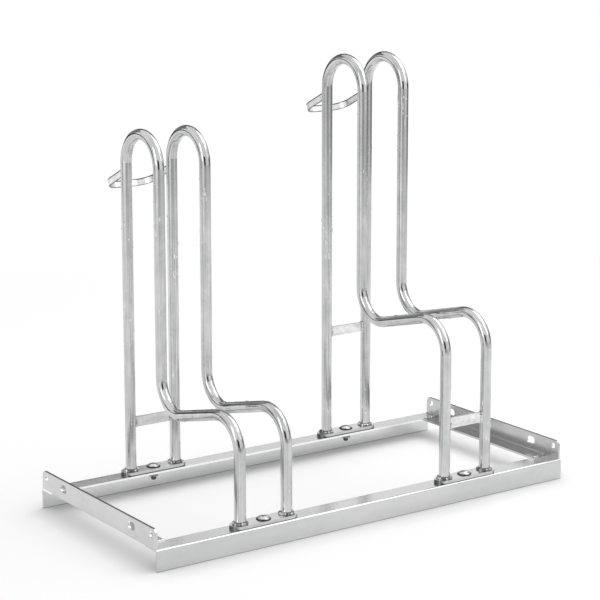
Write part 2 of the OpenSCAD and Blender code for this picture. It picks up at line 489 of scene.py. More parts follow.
    def spread(self, skin: Skin, brightness: Socket) -> Socket:
        """Roughness that is higher where the zinc is dull.

        Args:
            skin: Nodes of the finish.
            brightness: Socket from 0, dull, to 1, bright.

        Returns:
            Socket of the roughness.
        """
        half = self.roughness_spread / 2
        return skin.add("MapRange", {
            "Value": brightness, "To Min": self.roughness + half, "To Max": self.roughness - half})[0]

    def material(self) -> Material:
        """Builds the finish.

        Returns:
            The material.
        """
        skin = Skin(self.name)
        brightness = self.mottle(skin)
        return self.finish(skin, brightness, self.spread(skin, brightness))


@dataclass(frozen=True, kw_only=True)
class SectionZinc(Zinc):
    """Hot dip galvanised rail, rolled: satin, with a painted highlight on top and a line of painted contact
    shade where it stands.
    """

    name: str = "HotDipGalvanisedSection"
    # Painted highlight on the rail's level upper faces
    painted_highlight: str | None = "#FAFAFA"
    # Painted contact shade: colour of the line where the rail stands on the floor
    edge: str = "#7C7C7C"
    roughness: float = 0.22
    stretch: tuple[float, float, float] = (0.25, 1.0, 1.0)
    contact_shade_height: float = 0.9 * MM

    def shade_line_heights(self) -> tuple[float, float]:
        """The painted contact shade along the lower edge."""
        return (self.contact_shade_height, self.contact_shade_height / 2)


@dataclass(frozen=True, kw_only=True)
class RearRailZinc(SectionZinc):
    """Hot dip galvanised rail, painted lighter than the front rail as painted light, with a painted highlight
    line along its toe, which faces the front.
    """

    name: str = "HotDipGalvanisedRearRail"
    # Painted light: lighter colours than the front rail's, for the light the rear rail takes
    bright: str = "#E2E2E2"
    dull: str = "#D4D5D6"
    # Painted highlight: the toe, above this height, gets the highlight colour
    toe_bottom: float = 27.2 * MM

    def painted_highlight_mask(self, skin: Skin) -> Socket:
        """Finds the level face and the toe, which both get the painted highlight.

        Args:
            skin: Nodes of the finish.

        Returns:
            Socket that is 1 on them.
        """
        toe = skin.add("Math", {0: skin.axes[2], 1: self.toe_bottom}, operation="GREATER_THAN")
        return skin.add("Math", {0: toe[0], 1: super().painted_highlight_mask(skin)}, operation="MAXIMUM")[0]


@dataclass(frozen=True, kw_only=True)
class UpstandZinc(Zinc):
    """Hot dip galvanised end angle: smooth, with a line of painted shade along its upper edge."""

    roughness: float = 0.24
    crystal_share: float = 0.06
    grain_depth: float = 0.004 * MM
    stretch: tuple[float, float, float] = (0.25, 1.0, 1.0)
    top: float
    # Painted shade: width of the dark line along the top
    shade_line_width: float = 0.6 * MM

    def shade_line_heights(self) -> tuple[float, float]:
        """The painted shade line along the upper edge."""
        return (self.top - self.shade_line_width, self.top - self.shade_line_width / 2)


@dataclass(frozen=True, kw_only=True)
class FacedZinc(Zinc):
    """Zinc coated stock with painted shade on its narrow faces: they are darker than its wide ones.

    A face counts as narrow by how far it turns towards the given direction.
    """

    direction: tuple[float, float, float] = (0.0, 0.0, 1.0)
    unshaded_turn: float
    shaded_turn: float

    def edges(self, skin: Skin) -> Socket:
        """Finds the narrow faces, and the line at a height where there is one, that get painted shade.

        Args:
            skin: Nodes of the finish.

        Returns:
            Socket that is 1 on them.
        """
        # Painted shade on faces turned towards the direction, by how far they turn
        turned = skin.add("VectorMath", {0: skin.normal, 1: self.direction}, operation="DOT_PRODUCT")
        either = skin.add("Math", {0: turned["Value"]}, operation="ABSOLUTE")
        cut = skin.add("MapRange", {
            "Value": either[0], "From Min": self.unshaded_turn, "From Max": self.shaded_turn})[0]
        line = super().edges(skin)
        return cut if line is None else skin.add("Math", {0: line, 1: cut}, operation="MAXIMUM")[0]


@dataclass(frozen=True, kw_only=True)
class FootPlateZinc(FacedZinc):
    """Hot dip galvanised flat bar: a painted highlight on its top, painted shade on its narrow ends, and a
    line of painted contact shade along its bottom.
    """

    name: str = "HotDipGalvanisedFlatBar"
    bright: str = "#CCCCCC"
    dull: str = "#BEBEBE"
    # Painted highlight: the plate's top is mixed to near white
    painted_highlight: str | None = "#FCFCFC"
    roughness: float = 0.2
    cloud: float = 18 * MM
    crystal: float = 4 * MM
    direction: tuple[float, float, float] = (1.0, 0.0, 0.0)
    unshaded_turn: float = 0.35
    shaded_turn: float = 0.8
    bottom: float
    # Painted shade: height of the dark line where the plate sits on the rail
    contact_shade_line: float = 1.2 * MM

    def shade_line_heights(self) -> tuple[float, float]:
        """The line of painted contact shade along the bottom."""
        return (self.bottom + self.contact_shade_line, self.bottom + self.contact_shade_line / 2)


@dataclass(frozen=True, kw_only=True)
class CrossStrapZinc(Zinc):
    """Hot dip galvanised strip, cut short: pale, with small clouds and clear crystals."""

    name: str = "HotDipGalvanisedStrip"
    bright: str = "#F6F6F6"
    dull: str = "#C8C8C8"
    roughness: float = 0.24
    cloud: float = 9 * MM
    crystal: float = 4 * MM
    crystal_share: float = 0.3
    stretch: tuple[float, float, float] = (0.25, 1.0, 1.0)


@dataclass(frozen=True, kw_only=True)
class TopStrapZinc(Zinc):
    """Hot dip galvanised strip, bent to a U: nearly white, with lines of painted shade along both its sides.
    """

    bright: str = "#F0F0F0"
    dull: str = "#E0E0E0"
    # Painted shade: colour of the lines along the strip's upper and lower edges
    edge: str = "#585858"
    roughness: float = 0.3
    cloud: float = 15 * MM
    crystal: float = 3 * MM
    stretch: tuple[float, float, float] = (0.25, 1.0, 1.0)
    line: HoopLine
    upper_edge: float = 3.4 * MM
    lower_edge: float = 4.5 * MM
    blend: float = 0.3 * MM

    def edges(self, skin: Skin) -> Socket:
        """Finds the painted shade lines along the strip's upper and lower edge.

        Args:
            skin: Nodes of the finish.

        Returns:
            Socket that is 1 on them.
        """
        start = Vector((0, self.line.rear_y, self.line.top - self.line.strap_drop))
        local = skin.add("VectorMath", {0: skin.place, 1: start}, operation="SUBTRACT")
        across = (0.0, math.sin(STRAP_FALL), math.cos(STRAP_FALL))
        above = skin.add("VectorMath", {0: local[0], 1: across}, operation="DOT_PRODUCT")["Value"]
        lines = []
        for height, blend in ((self.upper_edge, self.blend), (-self.lower_edge, -self.blend)):
            lines.append(skin.add("MapRange", {
                "Value": above, "From Min": height - blend, "From Max": height + blend})[0])
        return skin.add("Math", dict(enumerate(lines)), operation="MAXIMUM")[0]


@dataclass(frozen=True, kw_only=True)
class WeldMetal(Zinc):
    """Arc weld under zinc: bright and nearly black patches at random, uneven all over as spatter leaves it,
    with painted shade in its hollows.
    """

    name: str = "GalvanisedWeldMetal"
    bright: str = "#F2F2F2"
    dull: str = "#5A5A5A"
    # Painted shade in the weld's hollows: where it starts and where it is full
    corner_shade_full: float = 0.3
    corner_shade_none: float = 0.75
    roughness: float = 0.2
    cloud: float = 4 * MM
    crystal: float = 2.6 * MM
    crystal_share: float = 0.6
    grain: float = 1.6 * MM
    grain_depth: float = 0.2 * MM


@dataclass(frozen=True, kw_only=True)
class PlatedFastener(FacedZinc):
    """Steel bolt, forged and zinc plated: smooth and bright, with painted shade on the rim where the dome
    turns down.

    The plating's grain is far too fine to show, so it is drawn 0.7 mm coarse.
    """

    name: str = "BrightZincPlatedFastener"
    bright: str = "#E4E4E4"
    dull: str = "#D0D0D0"
    # Painted shade: colour of the dome's steep rim
    edge: str = "#484848"
    roughness: float = 0.18
    roughness_spread: float = 0.06
    cloud: float = 9 * MM
    crystal: float = 1.5 * MM
    crystal_share: float = 0.1
    grain: float = 0.7 * MM
    grain_depth: float = 0.01 * MM
    unshaded_turn: float = 0.82
    shaded_turn: float = 0.75


@dataclass(frozen=True, kw_only=True)
class NutSteel(Zinc):
    """Steel nut, phosphated: dull and grey, and painted darker still as painted shade under the flange. Its
    grain is too fine to show, so it is drawn 0.7 mm coarse.
    """

    name: str = "PhosphatedSteelNutPaintedShade"
    # Dark greys: the phosphated finish, with painted shade for the shadow under the flange
    bright: str = "#A8A8A8"
    dull: str = "#6C6C6C"
    roughness: float = 0.34
    cloud: float = 6 * MM
    crystal: float = 1.5 * MM
    grain: float = 0.7 * MM


@dataclass(frozen=True, kw_only=True)
class LumpZinc(Zinc):
    """Zinc that froze in lumps: whiter and smoother than the skin round it, so that each lump glints."""

    name: str = "BrightZincLump"
    bright: str = "#F6F6F6"
    dull: str = "#D0D0D0"
    roughness: float = 0.2
    cloud: float = 8 * MM
    crystal: float = 3 * MM
    # Reach of the painted corner shade round each lump
    corner_shade_reach: float = 1 * MM
    stretch: tuple[float, float, float] = (0.25, 1.0, 1.0)


@dataclass(frozen=True, kw_only=True)
class TubeZinc(Zinc):
    """Hot dip galvanised drawn tube: satin on the legs, and bright in the bends and on the knee bar.

    The eye sees long streaks along the tube. They follow the surface's own direction, so they turn with each
    bend. The drawing marks are a few hundredths of a millimetre wide in truth, and are drawn coarser so that
    they show.
    """

    bright: str = "#E2E2E2"
    dull: str = "#A6A7A8"
    roughness: float = 0.16
    bend_roughness: float = 0.08
    cloud: float = 26 * MM
    stretch: tuple[float, float, float] = (1.0, 1.0, 0.5)
    line: HoopLine
    blend: float = 3 * MM
    streak_length: float = 1000 / 3 * MM
    streak_width: float = 8 / 9 * MM
    streak_detail: float = 3.0
    mottle_share: float = 0.5
    # Painted shade: dark band on the tube next to the foot weld
    foot_shade_height: float = 4.4 * MM
    foot_shade_share: float = 0.8

    def step(self, skin: Skin, value: Socket, at: float, rising: bool) -> Socket:
        """A soft step from 0 to 1, or back, where a value passes a place.

        Args:
            skin: Nodes of the finish.
            value: Socket of the value.
            at: Value at the middle of the step.
            rising: Whether the step goes up.

        Returns:
            Socket of the step.
        """
        start, end = (0.0, 1.0) if rising else (1.0, 0.0)
        return skin.add("MapRange", {
            "Value": value, "From Min": at - self.blend, "From Max": at + self.blend, "To Min": start,
            "To Max": end}, interpolation_type="SMOOTHSTEP")[0]

    def shade_line_heights(self) -> tuple[float, float]:
        """The foot, where painted shade darkens the tube next to the weld."""
        foot = self.line.plate_top
        return (foot + self.foot_shade_height, foot + self.foot_shade_share * self.foot_shade_height)

    def bends(self, skin: Skin) -> Socket:
        """Finds where the tube is drawn smooth: the arch, the two knees and the knee bar between them.

        Args:
            skin: Nodes of the finish.

        Returns:
            Socket that is 1 on a bend or the knee bar, and 0 on a leg.
        """
        line = self.line
        y, z = skin.axes[1], skin.axes[2]
        rear_y, front_y = line.upper_y - line.bend_radius, line.front_y + line.bend_radius
        bar = {0: self.step(skin, y, front_y, True), 1: self.step(skin, y, rear_y, False)}
        bent = {0: skin.add("Math", bar, operation="MULTIPLY")[0], 1: self.step(skin, z, line.arch_z, True)}
        smooth = skin.add("Math", bent, operation="MAXIMUM")[0]
        knees = ((rear_y, line.rear_knee_z, False), (front_y, line.front_knee_z, True))
        for centre_y, centre_z, above in knees:
            flat = skin.add("VectorMath", {0: skin.place, 1: (0, 1, 1)}, operation="MULTIPLY")
            local = skin.add("VectorMath", {0: flat[0], 1: (0, centre_y, centre_z)}, operation="SUBTRACT")[0]
            reach = skin.add("VectorMath", {0: local}, operation="LENGTH")["Value"]
            along = skin.add("VectorMath", {0: local, 1: (0, *line.bar_heading)}, operation="DOT_PRODUCT")
            tests = (
                self.step(skin, reach, line.bend_radius + 2 * line.tube_radius, False),
                self.step(skin, along["Value"], 0.0, above),
                self.step(skin, z, centre_z, above),
            )
            inside = skin.add("Math", {0: tests[0], 1: tests[1]}, operation="MULTIPLY")
            knee = skin.add("Math", {0: inside[0], 1: tests[2]}, operation="MULTIPLY")
            smooth = skin.add("Math", {0: smooth, 1: knee[0]}, operation="MAXIMUM")[0]
        return smooth

    def material(self) -> Material:
        """Builds the finish for the tubes of one pair.

        Returns:
            The material.
        """
        skin = Skin(self.name)
        turns = self.line.tube_radius / self.streak_width * self.streak_length
        around = skin.add("Math", {0: skin.facing[0], 1: turns}, operation="MULTIPLY")
        streak_place = skin.add("CombineXYZ", {0: around[0], 1: skin.axes[1], 2: skin.axes[2]})
        streak = skin.add("TexNoise", {
            "Vector": streak_place[0], "W": skin.axes[0], "Scale": 1 / self.streak_length,
            "Detail": self.streak_detail}, noise_dimensions="4D")
        streak_range = skin.add("MapRange", {"Value": streak[0], **NOISE_RANGE})
        mixed = {0: self.mottle_share, 2: streak_range[0], 3: self.mottle(skin)}
        brightness = skin.add("Mix", mixed, data_type="FLOAT")[0]
        smoothed = {0: self.bends(skin), 2: self.spread(skin, brightness), 3: self.bend_roughness}
        return self.finish(skin, brightness, skin.add("Mix", smoothed, data_type="FLOAT")[0])


@dataclass(frozen=True)
class Weld:
    """A run of arc weld: a rounded bead with the ripples of its molten pool."""

    radius: float
    ripple: float
    pitch: float
    sides: int
    unevenness: float = 0.09
    steps_per_ripple: int = 4
    fewest_ripples: int = 3
    ripple_middle: float = 0.5
    blunt_end: float = 0.12

    def rings(self, path: Callable[[float], tuple[Vector, Vector, Vector]], length: float,
              closed: bool, seed: int) -> list[list[Vector]]:
        """Works out the bead's rings along a line.

        Args:
            path: Gives the point, the outward and the side direction at a share of the line.
            length: Length of the line.
            closed: Whether the line closes on itself.
            seed: Seed of the bead's unevenness.

        Returns:
            Rings of points for Mesh.rings.
        """
        ripples = max(self.fewest_ripples, round(length / self.pitch))
        steps = ripples * self.steps_per_ripple
        uneven = random.Random(seed)
        swell = [1 + uneven.uniform(-self.unevenness, self.unevenness) for _ in range(ripples + 1)]
        swell[-1] = swell[0] if closed else swell[-1]
        rings = []
        for step in range(steps if closed else steps + 1):
            share = step / steps
            ripple_index, phase = divmod(step / self.steps_per_ripple, 1.0)
            index = int(ripple_index) % len(swell)
            following = swell[min(index + 1, len(swell) - 1)]
            girth = swell[index] * (1 - phase) + following * phase
            radius = self.radius * girth + self.ripple * (math.sqrt(1 - phase) - self.ripple_middle)
            if not closed:
                end = min(1.0, min(share, 1 - share) * length / self.radius)
                radius *= min(1.0, math.sqrt(1 - (1 - end) ** 2) + self.blunt_end)
            point, outward, sideways = path(share)
            turns = [2 * math.pi * side / self.sides for side in range(self.sides)]
            rings.append([point + (outward * math.cos(a) + sideways * math.sin(a)) * radius for a in turns])
        return rings

    def ring_bead(self, mesh: Mesh, centre: Vector, radius: float, seed: int) -> None:
        """Adds a bead that goes round a tube.

        Args:
            mesh: Mesh that takes the bead.
            centre: Middle of the ring.
            radius: Radius of the bead's middle line.
            seed: Seed of the bead's unevenness.
        """
        def path(share: float) -> tuple[Vector, Vector, Vector]:
            """Point and directions on the ring."""
            outward = Vector((math.cos(2 * math.pi * share), math.sin(2 * math.pi * share), 0))
            return centre + outward * radius, outward, Vector((0, 0, 1))
        mesh.rings(self.rings(path, 2 * math.pi * radius, True, seed), closed=True)

    def line_bead(self, mesh: Mesh, start: Vector, end: Vector, seed: int) -> None:
        """Adds a straight bead.

        Args:
            mesh: Mesh that takes the bead.
            start: One end of its middle line.
            end: The other end.
            seed: Seed of the bead's unevenness.
        """
        heading = (end - start).normalized()
        outward = heading.orthogonal().normalized()
        sideways = heading.cross(outward)

        def path(share: float) -> tuple[Vector, Vector, Vector]:
            """Point and directions on the line."""
            return start.lerp(end, share), outward, sideways
        mesh.rings(self.rings(path, (end - start).length, False, seed))


@dataclass
class Welds:
    """All the welds of the rack: feet, strap ends and the seams of the floor frame."""

    material: Material
    foot: Weld = Weld(2.4 * MM, 1.1 * MM, 4.2 * MM, sides=14, unevenness=0.22, steps_per_ripple=8)
    strap: Weld = Weld(2.3 * MM, 0.18 * MM, 1.4 * MM, sides=10)
    strip: Weld = Weld(1.7 * MM, 0.15 * MM, 1.3 * MM, sides=10)
    seam: Weld = Weld(1.75 * MM, 0.2 * MM, 1.7 * MM, sides=10)
    foot_centre: float = 0.64 * MM
    angle_width: float = 30 * MM
    angle_wall: float = 3 * MM
    strap_wall: float = 4 * MM
    strap_margin: float = 0.4 * MM
    strip_width: float = 10 * MM
    strip_wall: float = 3 * MM
    # Seeds of the beads' unevenness: where each kind starts, and the steps between pairs and faces
    strap_seeds: int = 500
    strip_seeds: int = 700
    seam_seeds: int = 900
    pair_seeds: int = 50
    face_seeds: int = 10

    def build(self) -> None:
        """Builds every weld piece."""
        for line in map(HoopLine, Tier):
            for side in Side:
                self.feet(line, side)
            self.strap_ends(line)
            self.top_strap_ends(line)
        self.frame_seams()

    def seed(self, first: int, line: HoopLine, face: int, side: Side) -> int:
        """Seed of a strap's bead, from the first seed of its kind, its pair, face and side."""
        return first + self.pair_seeds * line.number + self.face_seeds * face + side.value

    def feet(self, line: HoopLine, side: Side) -> None:
        """Welds one hoop's two feet to their plates.

        Args:
            line: The pair's line.
            side: Which tube of the pair.
        """
        for row, y in ((Row.FRONT, line.front_y), (Row.REAR, line.rear_y)):
            mesh = Mesh()
            centre = Vector((line.tube_x(side), y, line.plate_top + self.foot_centre))
            seed = self.face_seeds * (side.value + 1) + 2 * self.pair_seeds * line.number
            seed += row is Row.REAR
            self.foot.ring_bead(mesh, centre, line.tube_radius + self.foot_centre, seed)
            mesh.piece(f"{line.hoop(side)}_{row.value}_foot_weld", self.material, "galvanised_tube")

    def strap_ends(self, line: HoopLine) -> None:
        """Welds the cross straps of one pair to its tubes, down both faces.

        Args:
            line: The pair's line.
        """
        for row in Row:
            strap = f"{line.tier.value}_{row.value}_strap"
            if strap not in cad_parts:
                continue
            lowest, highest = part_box(strap)
            heights = (lowest.z + self.strap_margin, highest.z - self.strap_margin)
            mesh = Mesh()
            for side in Side:
                x = line.tube_x(side) - side.value * line.tube_radius
                for face in (-1, 1):
                    y = node_centre(strap).y + face * self.strap_wall / 2
                    seed = self.seed(self.strap_seeds, line, face, side)
                    self.strap.line_bead(mesh, *(Vector((x, y, z)) for z in heights), seed)
            mesh.piece(f"{strap}_welds", self.material, "galvanised_strap")

    def top_strap_ends(self, line: HoopLine) -> None:
        """Welds the ends of one pair's top strap to the backs of the tubes.

        Args:
            line: The pair's line.
        """
        strap = f"{line.tier.value}_top_strap"
        half_width, half_wall = self.strip_width / 2, self.strip_wall / 2
        # The strip's middle meets the tube's back half a strip below the strap's highest corner
        drop = half_width * math.cos(STRAP_FALL) + line.tube_radius * math.sin(STRAP_FALL)
        middle_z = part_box(strap)[1].z - drop
        y = line.rear_y + math.sqrt(line.tube_radius ** 2 - half_wall ** 2)
        mesh = Mesh()
        for side in Side:
            for face in (-1, 1):
                x = line.tube_x(side) + face * half_wall
                ends = (Vector((x, y, middle_z + way * half_width)) for way in (-1, 1))
                seed = self.seed(self.strip_seeds, line, face, side)
                self.strip.line_bead(mesh, *ends, seed)
        mesh.piece(f"{strap}_welds", self.material, "galvanised_strap")

    def frame_seams(self) -> None:
        """Welds the end angles' flanges to the rails' flanges."""
        front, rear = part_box("front_rail"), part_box("rear_rail")
        for side in Side:
            mesh = Mesh()
            outer_x = side.value * front[1].x
            reaches = (self.angle_wall, self.angle_width - self.angle_wall)
            for number, y in enumerate((front[0].y + self.angle_width, rear[1].y - self.angle_width)):
                ends = (Vector((outer_x - side.value * reach, y, front[1].z)) for reach in reaches)
                self.seam.line_bead(mesh, *ends, self.seam_seeds + number)
            mesh.piece(f"{side.word}_end_seam_welds", self.material, "galvanised_section")


@dataclass
class CarriageBolt:
    """Carriage bolt: domed head, square neck and a rolled M8 thread."""

    material: Material
    head_radius: float = 10.3 * MM
    head_height: float = 4.9 * MM
    rim: float = 0.7 * MM
    rim_inset: float = 0.25 * MM
    rim_lift: float = 0.2 * MM
    neck_width: float = 8.4 * MM
    neck_height: float = 3.8 * MM
    neck_corner: float = 0.6 * MM
    pitch: float = 1.25 * MM
    crest_radius: float = 3.98 * MM
    root_radius: float = 3.3 * MM
    flank_slope: float = 2.9
    flank_peak: float = 1.45
    point_share: float = 0.84
    sides: int = 48
    dome_rows: int = 14
    rows_per_turn: int = 8

    def circle(self, centre: Vector, radius: float, height: float) -> list[Vector]:
        """A level ring of points above a centre."""
        angles = [2 * math.pi * i / self.sides for i in range(self.sides)]
        return [centre + Vector((radius * math.cos(a), radius * math.sin(a), height)) for a in angles]

    def head(self, mesh: Mesh, seat: Vector) -> None:
        """Adds the dome, with a soft edge where it meets its straight rim.

        Args:
            mesh: Mesh that takes the head.
            seat: Middle of the head's underside.
        """
        cap = self.head_height - self.rim
        ball = (self.head_radius ** 2 + cap ** 2) / (2 * cap)
        half_angle = math.asin(self.head_radius / ball)
        profile = [(self.head_radius - self.rim_inset, 0.0), (self.head_radius, self.rim_lift)]
        for row in range(self.dome_rows):
            angle = half_angle * (1 - row / self.dome_rows)
            profile.append((ball * math.sin(angle), self.head_height - ball * (1 - math.cos(angle))))
        mesh.rings([self.circle(seat, radius, height) for radius, height in profile])

    def thread(self, mesh: Mesh, seat: Vector, length: float) -> None:
        """Adds the shank with its helical thread and a tapered start.

        Args:
            mesh: Mesh that takes the shank.
            seat: Middle of the head's underside.
            length: Length of the bolt under its head.
        """
        rows = round((length - self.neck_height) / self.pitch * self.rows_per_turn)
        rings = []
        for row in range(rows + 1):
            drop = length - (length - self.neck_height) * row / rows
            taper = min(1.0, (length - drop) / self.pitch)
            ring = []
            for i in range(self.sides):
                phase = (drop / self.pitch + i / self.sides) % 1.0
                ridge = max(0.0, min(1.0, self.flank_peak - abs(phase - 0.5) * self.flank_slope))
                depth = (self.crest_radius - self.root_radius) * ridge
                radius = (self.root_radius + depth) * (self.point_share + (1 - self.point_share) * taper)
                angle = 2 * math.pi * i / self.sides
                ring.append(seat + Vector((radius * math.cos(angle), radius * math.sin(angle), -drop)))
            rings.append(ring)
        mesh.rings(rings)

    def neck(self, mesh: Mesh, seat: Vector) -> None:
        """Adds the square neck with broken corners.

        Args:
            mesh: Mesh that takes the neck.
            seat: Middle of the head's underside.
        """
        half = self.neck_width / 2
        inner = half - self.neck_corner
        outline = []
        for x, y in ((1, 1), (-1, 1), (-1, -1), (1, -1)):
            ends = [Vector((x * half, y * inner, 0)), Vector((x * inner, y * half, 0))]
            outline.extend(ends if x * y > 0 else reversed(ends))
        bottom = seat - Vector((0, 0, self.neck_height))
        mesh.rings([[bottom + point for point in outline], [seat + point for point in outline]])

    def build(self, tier: Tier, row: Row) -> None:
        """Builds one bolt in the place of its CAD node.

        Args:
            tier: Which holder the bolt fixes.
            row: Which row of feet.
        """
        node = f"{tier.value}_{row.value}_bolt"
        lowest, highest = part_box(node)
        middle = (lowest + highest) / 2
        seat = Vector((middle.x, middle.y, highest.z - self.head_height))
        mesh = Mesh()
        self.head(mesh, seat)
        self.neck(mesh, seat)
        self.thread(mesh, seat, seat.z - lowest.z)
        bolt = mesh.piece(f"{node}_threaded", self.material, "zinc_fastener")
        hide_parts(node)


@dataclass
class ZincLumps:
    """Lumps and short runs of zinc that froze on the tubes as they drained.

    Most lie in patches, some lie alone, and some ran along the tube. The ends of each straight stay bare.
    A patch spreads along the tube, and round it by its turn in radians. Widths are half widths.
    """

    material: Material
    lumps_per_metre: float = 120.0
    patch_pitch: float = 110 * MM
    patch_spread: float = 16 * MM
    patch_turn: float = 0.7
    lone_share: float = 0.3
    run_share: float = 0.3
    end_share: float = 0.04
    widths: tuple[float, float] = (0.5 * MM, 1.2 * MM)
    lump_stretch: tuple[float, float] = (0.9, 1.6)
    run_stretch: tuple[float, float] = (3.0, 8.0)
    height_share: float = 0.75
    greatest_height: float = 0.8 * MM
    pair_seeds: int = 10
    rows: int = 5
    sides: int = 10

    def lump(self, mesh: Mesh, place: Vector, outward: Vector, along: Vector, size: Vector) -> None:
        """Adds one lump, half sunk in the tube.

        Args:
            mesh: Mesh that takes the lump.
            place: Point on the tube's surface.
            outward: Direction away from the tube.
            along: Direction of the tube.
            size: Half length along the tube, half width and height.
        """
        across = outward.cross(along)
        rings = []
        for row in range(1, self.rows + 1):
            angle = math.pi * row / (self.rows + 1)
            middle = place - along * (size.x * math.cos(angle))
            ring = []
            for side in range(self.sides):
                turn = 2 * math.pi * side / self.sides
                ring.append(middle + across * (size.y * math.sin(angle) * math.cos(turn))
                            + outward * (size.z * math.sin(angle) * math.sin(turn)))
            rings.append(ring)
        mesh.rings(rings)

    def strew(self, mesh: Mesh, start: Vector, end: Vector, radius: float, chance: random.Random) -> None:
        """Strews lumps over one straight.

        Args:
            mesh: Mesh that takes the lumps.
            start: One end of the straight's axis.
            end: The other end.
            radius: Radius of the tube.
            chance: Source of the strewing.
        """
        length = (end - start).length
        along = (end - start).normalized()
        sideways = Vector((1, 0, 0))
        front = sideways.cross(along)
        patches = [(chance.random(), chance.uniform(0, 2 * math.pi))
                   for _ in range(max(1, round(length / self.patch_pitch)))]
        for _ in range(round(length * self.lumps_per_metre)):
            share, turn = chance.choice(patches)
            share += chance.gauss(0, self.patch_spread / length)
            turn += chance.gauss(0, self.patch_turn)
            if chance.random() < self.lone_share:
                share, turn = chance.random(), chance.uniform(0, 2 * math.pi)
            outward = sideways * math.cos(turn) + front * math.sin(turn)
            reach = self.end_share + (1 - 2 * self.end_share) * min(1.0, max(0.0, share))
            width = chance.uniform(*self.widths)
            stretches = self.run_stretch if chance.random() < self.run_share else self.lump_stretch
            length_half = width * chance.uniform(*stretches)
            size = Vector((length_half, width, min(self.greatest_height, width * self.height_share)))
            self.lump(mesh, start.lerp(end, reach) + outward * radius, outward, along, size)

    def build(self, line: HoopLine, side: Side) -> None:
        """Builds the lumps of one hoop as one piece.

        Args:
            line: The pair's line.
            side: Which tube of the pair.
        """
        chance = random.Random(self.pair_seeds * line.number + side.value + 1)
        middle = Vector((line.tube_x(side), 0, 0))
        mesh = Mesh()
        for start, end in line.straights():
            self.strew(mesh, start + middle, end + middle, line.tube_radius, chance)
        mesh.piece(f"{line.hoop(side)}_zinc_lumps", self.material, "galvanised_tube")


@dataclass
class Dressing:
    """Puts each CAD node into its finish, which is found by how the node's name ends."""

    finishes: dict[str, Material]

    def dress(self) -> None:
        """Assigns the finishes."""
        for name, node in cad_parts.items():
            finish = next(finish for ending, finish in self.finishes.items() if name.endswith(ending))
            node.data.materials.clear()
            node.data.materials.append(finish)
            LOG.info("%s: %s", name, finish.name)


@dataclass(frozen=True)
class Screen:
    """A row of grey cloths hung on an arc round the rack, so that the bright zinc has tones to reflect.

    Each cloth has its first and last heading, in degrees to the right of the camera as seen from the rack,
    and its brightness, where 1 is white. The other lengths are metres.
    """

    name: str
    distance: float
    bottom: float
    top: float
    cloths: tuple[tuple[float, float, float], ...]


@dataclass(frozen=True)
class SoftBox:
    """A flat lamp. Its heading is as a cloth's; radiance is the brightness of its face, where 1 is white.

    A lamp that isn't on the floor only shows in the metal.
    """

    name: str
    heading: float
    distance: float
    height: float
    aim_height: float
    size: tuple[float, float]
    radiance: float
    on_floor: bool


